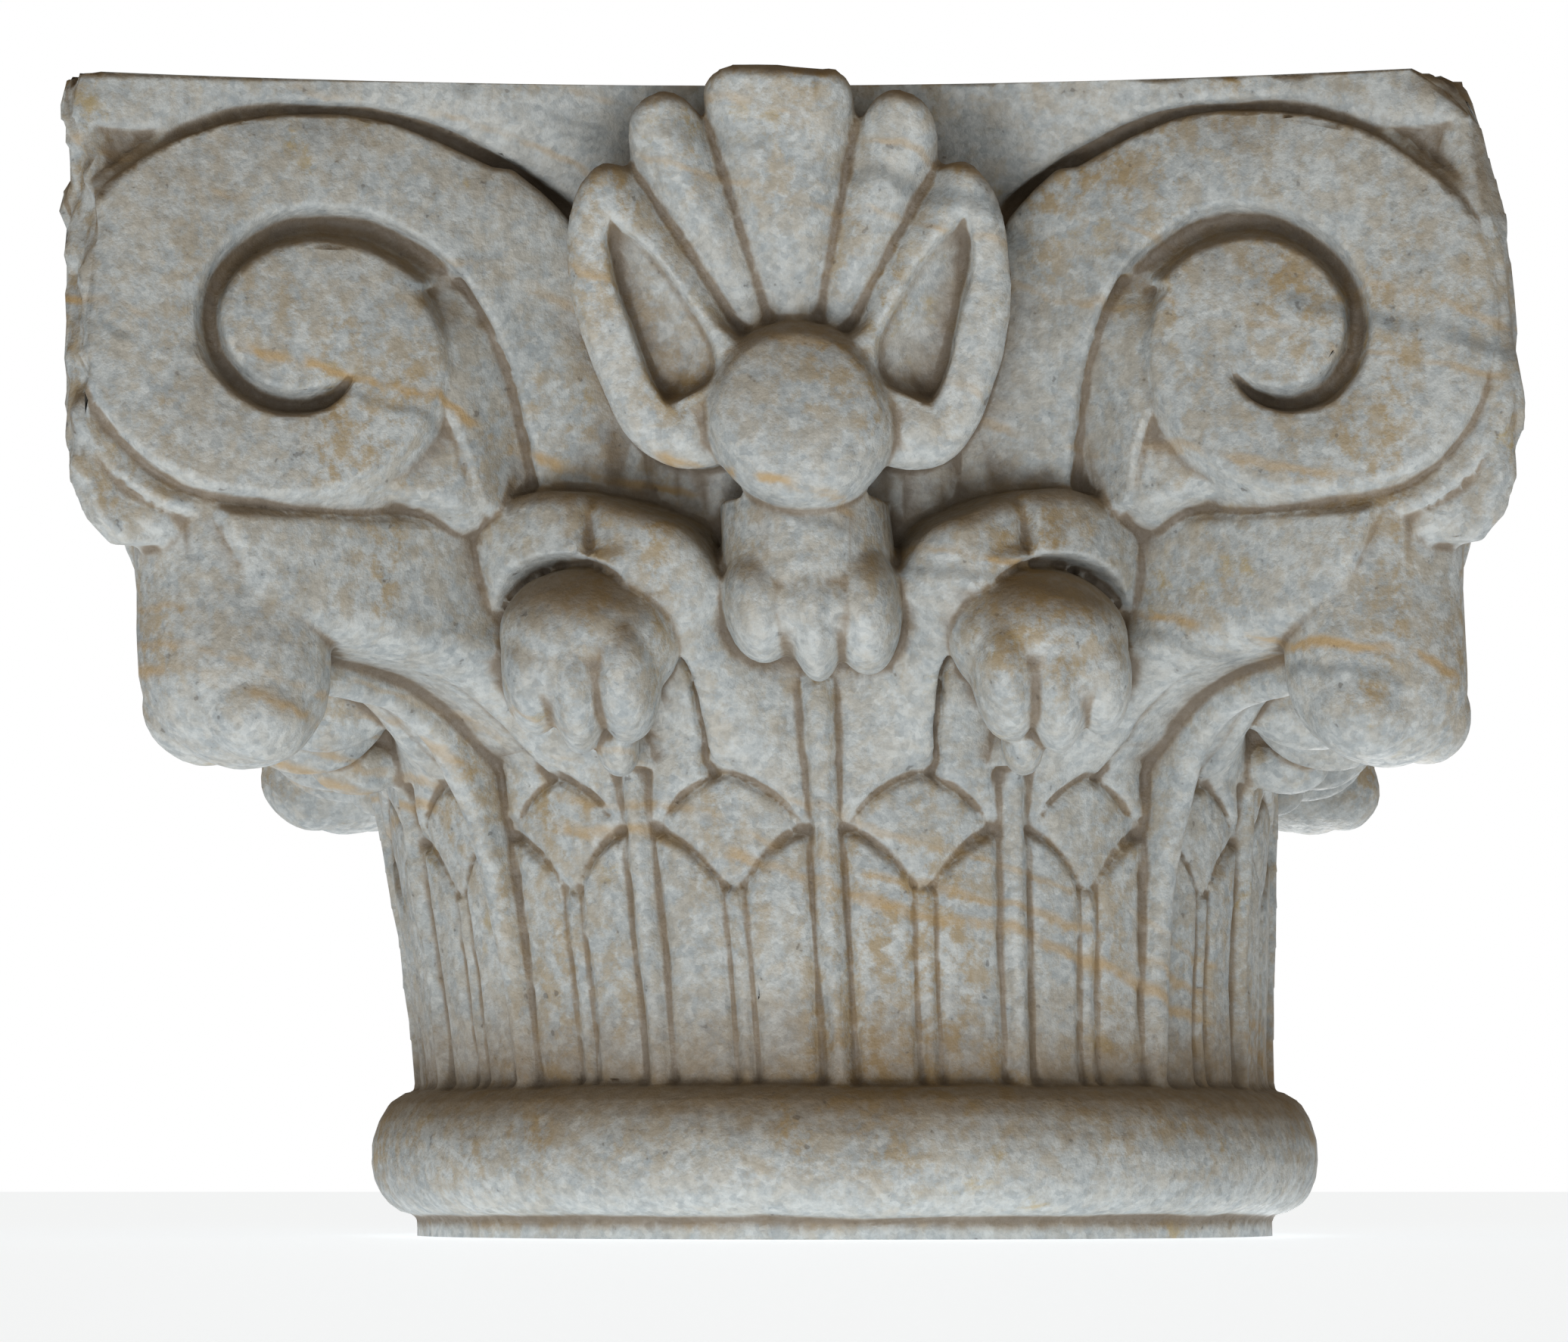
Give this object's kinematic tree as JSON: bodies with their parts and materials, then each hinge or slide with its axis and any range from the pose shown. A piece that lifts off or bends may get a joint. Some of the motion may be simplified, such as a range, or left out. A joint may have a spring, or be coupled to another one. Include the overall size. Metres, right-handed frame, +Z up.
{
  "type": "corinthian capital",
  "caption": "Carved marble column capital with a ringed foot, a reeded bell, curled leaves, corner scrolls, a shell of lobes on each face and a hollow-sided slab on top.",
  "frame": {"origin": "centre of the round lower bed, where the capital stands on its column shaft", "axes": "+Z up to the upper bed, -Y the front face, +X to the right seen from the front"},
  "size_m": [0.582, 0.582, 0.45],
  "materials": {
    "marble": "coarse white marble, weathered, with brown patina in the hollows"
  },
  "bodies": {
    "root": {"marble_capital": "marble"}
  },
  "joints": []
}
